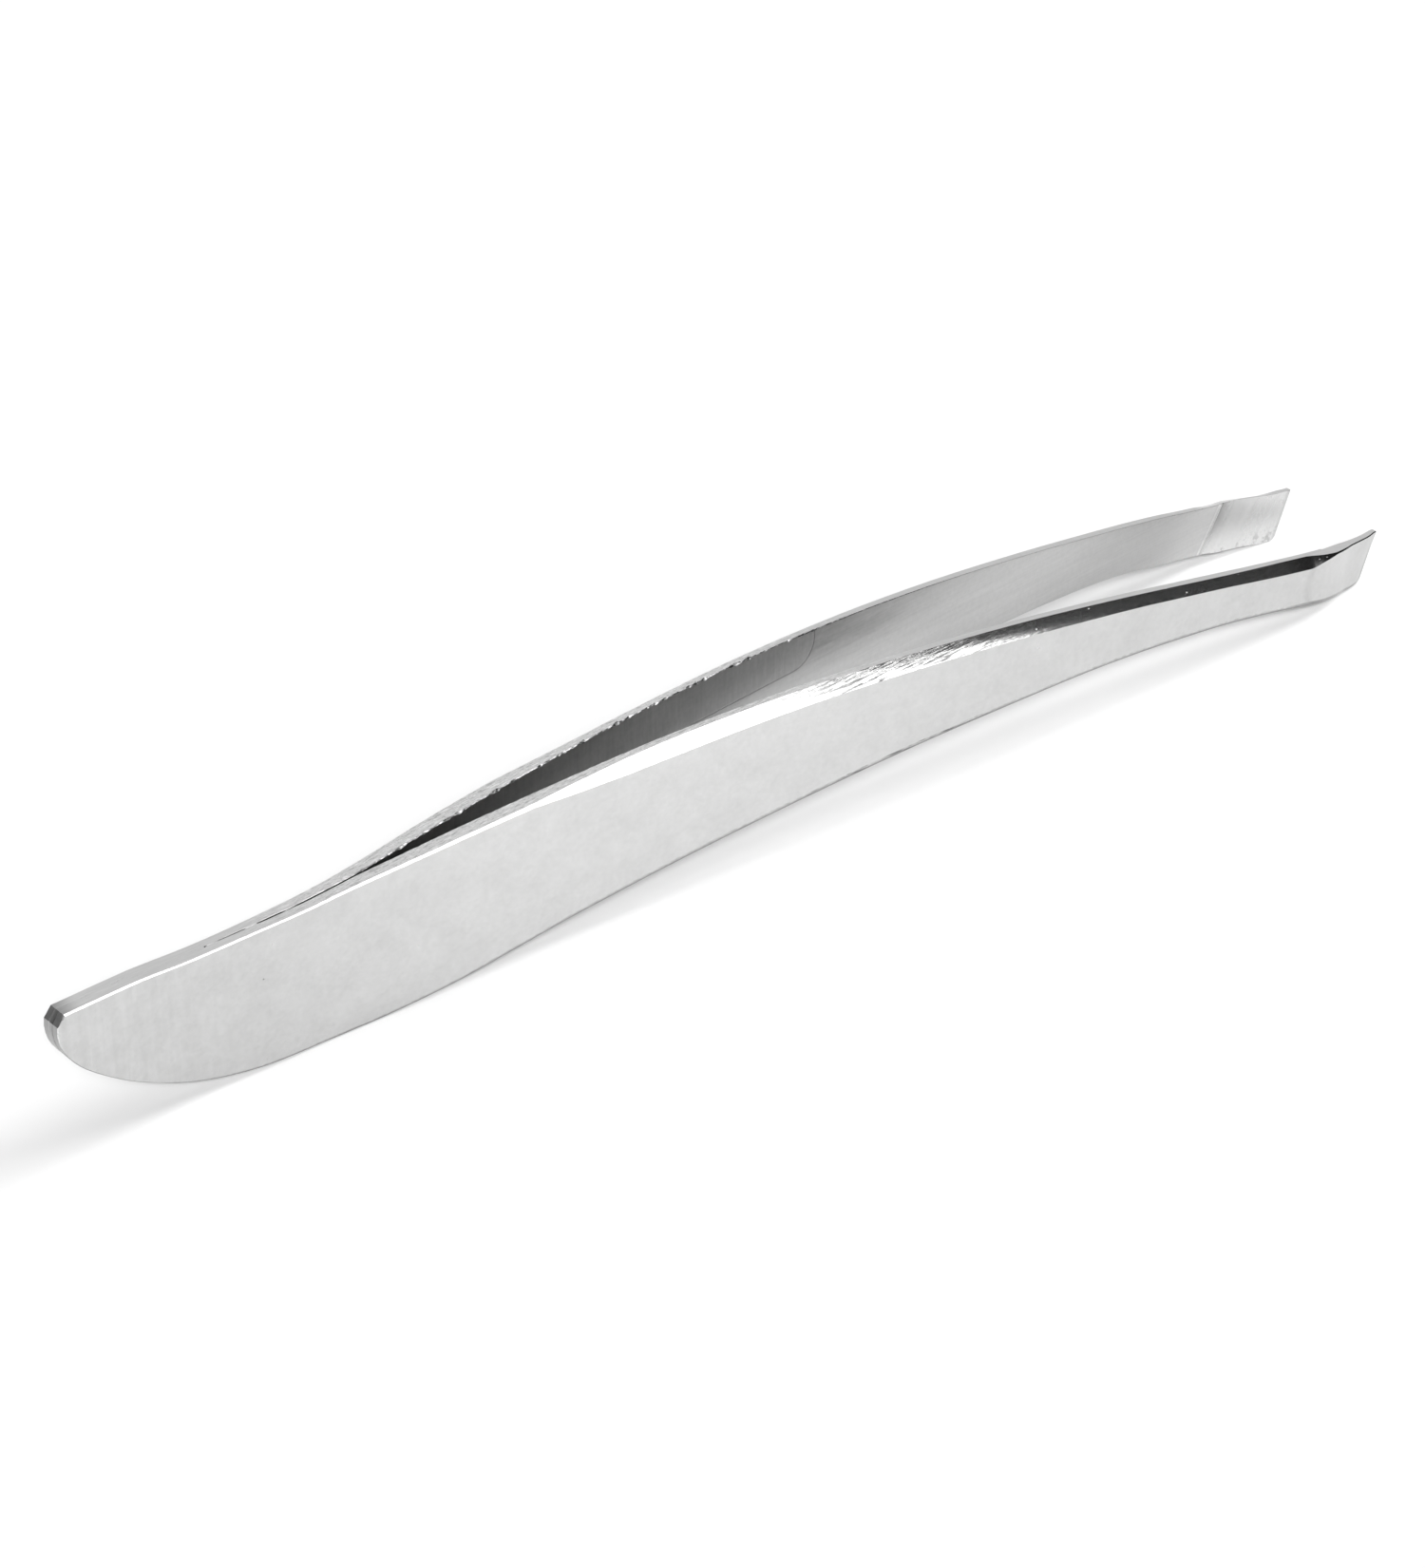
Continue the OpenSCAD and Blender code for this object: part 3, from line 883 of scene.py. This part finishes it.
def arm_materials():
    """In the order of the finishes of an arm."""
    return [
        steel("outer_face_steel", outer_finish),
        steel("inner_face_steel", inner_finish),
        steel("bevel_steel", bevel_finish),
        steel("edge_strip_steel", strip_finish),
        steel("tip_inside_steel", tip_inside_finish),
        steel("burr_steel", burr_finish),
    ]


# ---------------------------------------------------------------- studio
def window(n, value, low, high, soft):
    """1 between two angles and 0 outside them, with soft edges."""
    rise = n.ramp(n.math("SUBTRACT", value, low), -soft, soft)
    fall = n.ramp(n.math("SUBTRACT", high, value), -soft, soft)
    return n.both(rise, fall)


def make_world():
    """A white studio with a bright softbox, a black flag beside it and a grey one behind the butt."""
    world = bpy.data.worlds.new("studio")
    bpy.context.scene.world = world
    world.use_nodes = True
    world.cycles.sampling_method = "NONE"
    tree = world.node_tree
    tree.nodes.clear()
    n = Nodes(tree)
    way = n.node("ShaderNodeTexCoord").outputs["Generated"]
    x, y, z = n.node("ShaderNodeSeparateXYZ", {0: way}).outputs
    azimuth = n.math("MULTIPLY", n.math("ARCTAN2", y, x), 180 / math.pi)
    height = n.math("MULTIPLY", n.math("ARCSINE", z), 180 / math.pi)

    border = n.add(BORDER_AT, n.math("MINIMUM", height, BORDER_TOP), BORDER_LEAN)
    lower = n.both(window(n, azimuth, SOFTBOX_FROM, border, 0.8), window(n, height, *LOWER_BOX_HEIGHTS, 2.0))
    upper = n.both(window(n, azimuth, SOFTBOX_FROM, UPPER_BOX_TO, 1.5),
                   window(n, height, *UPPER_BOX_HEIGHTS, 1.5))
    flag = n.both(window(n, azimuth, border, FLAG_TO, 0.8), window(n, height, *FLAG_HEIGHTS, 3.0))
    side_flag = n.both(n.ramp(x, -0.35, -0.75), window(n, height, *SIDE_FLAG_HEIGHTS, 6.0))
    level = n.ramp(height, 0.0, 60.0, WORLD_LOW, WORLD_HIGH)
    level = n.blend(flag, level, FLAG_LEVEL)
    level = n.blend(side_flag, level, SIDE_FLAG_LEVEL)
    level = n.blend(n.math("MAXIMUM", lower, upper), level, SOFTBOX_LEVEL)

    # Scattered light gets only a weak even fill, so that the lamps alone shape the shadows
    rays = n.node("ShaderNodeLightPath")
    scattered = n.math("MINIMUM", rays.outputs["Diffuse Depth"], 1.0)
    level = n.blend(scattered, level, FILL_LEVEL)
    level = n.blend(rays.outputs["Is Camera Ray"], level, BACKDROP_LEVEL)
    background = n.node("ShaderNodeBackground", {"Color": (1, 1, 1, 1), "Strength": level})
    out = n.node("ShaderNodeOutputWorld")
    tree.links.new(background.outputs[0], out.inputs[0])


def broad_light(name, azimuth, height, spread, strength):
    """A far soft light, spread over an angle in degrees, that lights the table evenly."""
    a, e = math.radians(azimuth), math.radians(height)
    away = Vector((math.cos(a) * math.cos(e), math.sin(a) * math.cos(e), math.sin(e)))
    data = bpy.data.lights.new(name, "SUN")
    data.angle = math.radians(spread)
    data.energy = strength
    lamp = bpy.data.objects.new(name, data)
    lamp.rotation_mode = "QUATERNION"
    lamp.rotation_quaternion = away.to_track_quat("Z", "Y")
    lamp.visible_glossy = False
    bpy.context.scene.collection.objects.link(lamp)


def make_floor():
    """A large plain white table top."""
    h = FLOOR_HALF
    mesh = bpy.data.meshes.new("floor")
    mesh.from_pydata([(-h, -h, 0), (h, -h, 0), (h, h, 0), (-h, h, 0)], [], [(0, 1, 2, 3)])
    floor = bpy.data.objects.new("floor", mesh)
    bpy.context.scene.collection.objects.link(floor)
    material = bpy.data.materials.new("white_table")
    material.use_nodes = True
    n = Nodes(material.node_tree)
    surface = material.node_tree.nodes["Principled BSDF"]
    place = n.node("ShaderNodeTexCoord")
    cloud = n.node("ShaderNodeTexNoise", {"Vector": place.outputs["Object"], "Scale": 30.0, "Detail": 3.0})
    shade = n.ramp(cloud.outputs["Fac"], 0.3, 0.7, 0.89, 0.91)
    tint = n.node("ShaderNodeCombineColor", {"Red": shade, "Green": shade, "Blue": shade})
    n.put(tint.outputs[0], surface.inputs["Base Color"])
    surface.inputs["Roughness"].default_value = 0.9
    surface.inputs["Specular IOR Level"].default_value = 0.0
    mesh.materials.append(material)


def make_camera():
    """Looks down on the tweezers from beyond the butt, on the near arm's side."""
    right = CAMERA_RIGHT.normalized()
    back = right.cross(CAMERA_UP.normalized()).normalized()
    up = back.cross(right).normalized()
    data = bpy.data.cameras.new("camera")
    data.lens = LENS
    data.sensor_width = SENSOR_WIDTH
    data.clip_start, data.clip_end = 0.01, 20.0
    camera = bpy.data.objects.new("camera", data)
    turn = Matrix((right, up, back)).transposed().to_4x4()
    camera.matrix_world = Matrix.Translation(CAMERA_PLACE) @ turn
    bpy.context.scene.collection.objects.link(camera)
    bpy.context.scene.camera = camera


make_camera()
make_world()
make_floor()
for light in LIGHTS:
    broad_light(*light)
bpy.context.scene.view_settings.view_transform = "Standard"

steels = arm_materials()
for name, hand in ARMS.items():
    make_arm(name, hand, steels)
make_weld()
